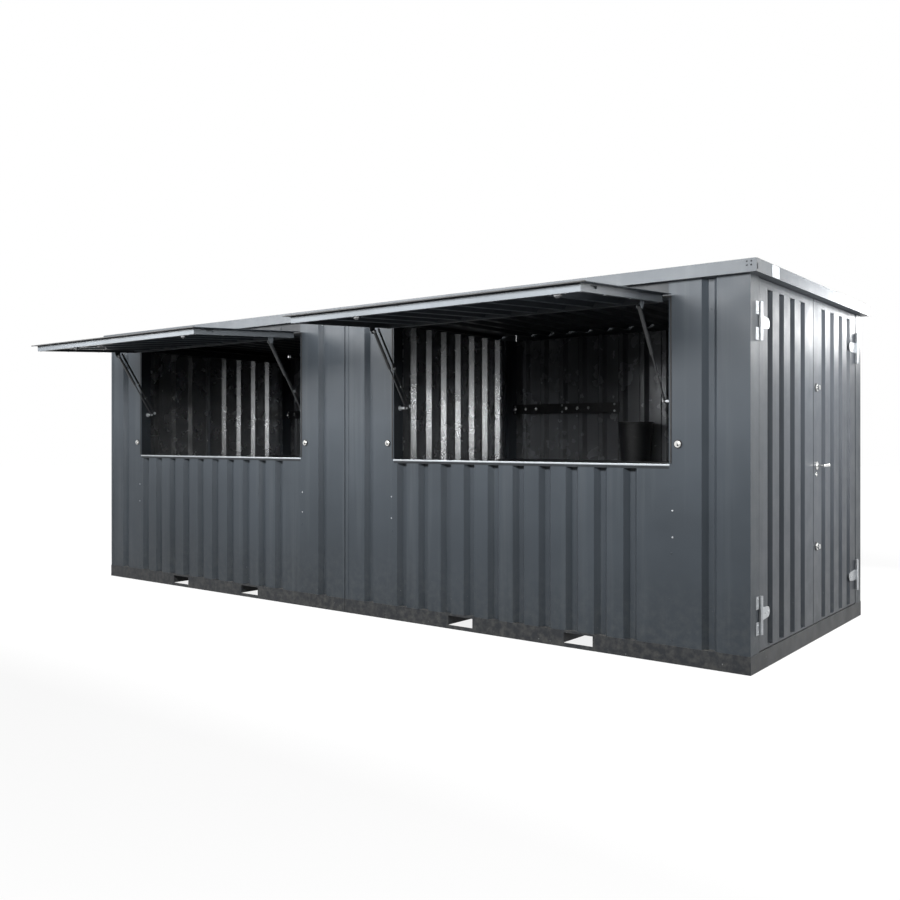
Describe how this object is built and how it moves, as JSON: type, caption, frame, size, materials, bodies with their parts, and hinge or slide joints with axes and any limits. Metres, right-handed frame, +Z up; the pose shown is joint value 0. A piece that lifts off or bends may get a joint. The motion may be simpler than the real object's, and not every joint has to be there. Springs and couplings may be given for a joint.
{
  "type": "container bar made of two steel container modules",
  "caption": "Serving bar of steel container modules in a row, with counter openings, top-hinged awning hatches on gas struts and double end doors.",
  "frame": {"origin": "on the ground, at the centre of the footprint, where the middle cross rail rests", "axes": "+X towards the right end with its double doors, -Y towards the front with the hatches, +Z up"},
  "size_m": [6.102, 3.2479, 2.22],
  "materials": {
    "base_paint": "satin",
    "wall_paint": "satin",
    "roof_paint": "satin",
    "door_paint": "satin",
    "floor_board": "matt, film faced",
    "sill_metal": "satin",
    "zinc": "zinc plated",
    "lock_metal": "bright",
    "strut_black": "satin",
    "shelf_black": "satin",
    "tub_plastic": "matt"
  },
  "bodies": {
    "root": {"base_side_rails": "base_paint", "base_cross_rails": "base_paint", "fork_channels": "base_paint", "floors": "floor_board", "corner_posts": "wall_paint", "front_pillar_panels": "wall_paint", "counter_panels": "wall_paint", "opening_jambs": "wall_paint", "opening_heads": "wall_paint", "sills": "sill_metal", "back_walls": "wall_paint", "partition_wall": "wall_paint", "door_headers": "wall_paint", "roof_sheets": "roof_paint", "roof_side_edges": "roof_paint", "roof_end_edges": "roof_paint", "pillar_locks": "lock_metal", "strut_feet": "lock_metal", "hatch_hinge_leaves": "wall_paint", "post_hinge_leaves": "zinc", "back_shelves": "shelf_black", "shelf_brackets": "shelf_black", "hook_rails": "shelf_black", "hook_knobs": "lock_metal", "tubs": "tub_plastic"},
    "left_hatch": {"left_hatch_panel": "wall_paint", "left_hatch_side_rails": "wall_paint", "left_hatch_cross_rails": "wall_paint", "left_hatch_hinges": "wall_paint"},
    "left_rods": {"left_strut_rods": "lock_metal"},
    "left_tubes": {"left_strut_tubes": "strut_black"},
    "right_hatch": {"right_hatch_panel": "wall_paint", "right_hatch_side_rails": "wall_paint", "right_hatch_cross_rails": "wall_paint", "right_hatch_hinges": "wall_paint"},
    "right_rods": {"right_strut_rods": "lock_metal"},
    "right_tubes": {"right_strut_tubes": "strut_black"},
    "right_front_door": {"right_front_door": "door_paint", "right_front_straps": "zinc"},
    "right_back_door": {"right_back_door": "door_paint", "right_back_straps": "zinc", "right_door_lock": "lock_metal"},
    "left_front_door": {"left_front_door": "door_paint", "left_front_straps": "zinc"},
    "left_back_door": {"left_back_door": "door_paint", "left_back_straps": "zinc", "left_door_lock": "lock_metal"}
  },
  "joints": [
    {"name": "left_hatch_hinge", "type": "hinge", "parent": "root", "child": "left_hatch", "pos_m": [-1.502, -1.112, 2.086], "axis": [1, 0, 0], "range_deg": [0, 86.7]},
    {"name": "left_strut_swing", "type": "hinge", "parent": "root", "child": "left_rods", "pos_m": [-1.502, -1.03, 1.48], "axis": [1, 0, 0], "range_deg": [-34, 0]},
    {"name": "left_strut_slide", "type": "slide", "parent": "left_rods", "child": "left_tubes", "axis": [0, -0.5418, 0.8405], "range_m": [-0.252, 0]},
    {"name": "right_hatch_hinge", "type": "hinge", "parent": "root", "child": "right_hatch", "pos_m": [1.502, -1.112, 2.086], "axis": [1, 0, 0], "range_deg": [0, 86.7]},
    {"name": "right_strut_swing", "type": "hinge", "parent": "root", "child": "right_rods", "pos_m": [1.502, -1.03, 1.48], "axis": [1, 0, 0], "range_deg": [-34, 0]},
    {"name": "right_strut_slide", "type": "slide", "parent": "right_rods", "child": "right_tubes", "axis": [0, -0.5418, 0.8405], "range_m": [-0.252, 0]},
    {"name": "right_front_door_hinge", "type": "hinge", "parent": "root", "child": "right_front_door", "pos_m": [3.012, -0.966, 1.1], "axis": [0, 0, -1], "range_deg": [0, 180]},
    {"name": "right_back_door_hinge", "type": "hinge", "parent": "root", "child": "right_back_door", "pos_m": [3.012, 0.966, 1.1], "axis": [0, 0, 1], "range_deg": [0, 180]},
    {"name": "left_front_door_hinge", "type": "hinge", "parent": "root", "child": "left_front_door", "pos_m": [-3.012, -0.966, 1.1], "axis": [0, 0, 1], "range_deg": [0, 180]},
    {"name": "left_back_door_hinge", "type": "hinge", "parent": "root", "child": "left_back_door", "pos_m": [-3.012, 0.966, 1.1], "axis": [0, 0, -1], "range_deg": [0, 180]}
  ],
  "couplings": [
    {"joint": "left_strut_swing", "follows": "left_hatch_hinge", "ratio": -0.38399},
    {"joint": "left_strut_slide", "follows": "left_hatch_hinge", "m_per_rad": -0.16317},
    {"joint": "right_strut_swing", "follows": "right_hatch_hinge", "ratio": -0.38399},
    {"joint": "right_strut_slide", "follows": "right_hatch_hinge", "m_per_rad": -0.16317}
  ]
}
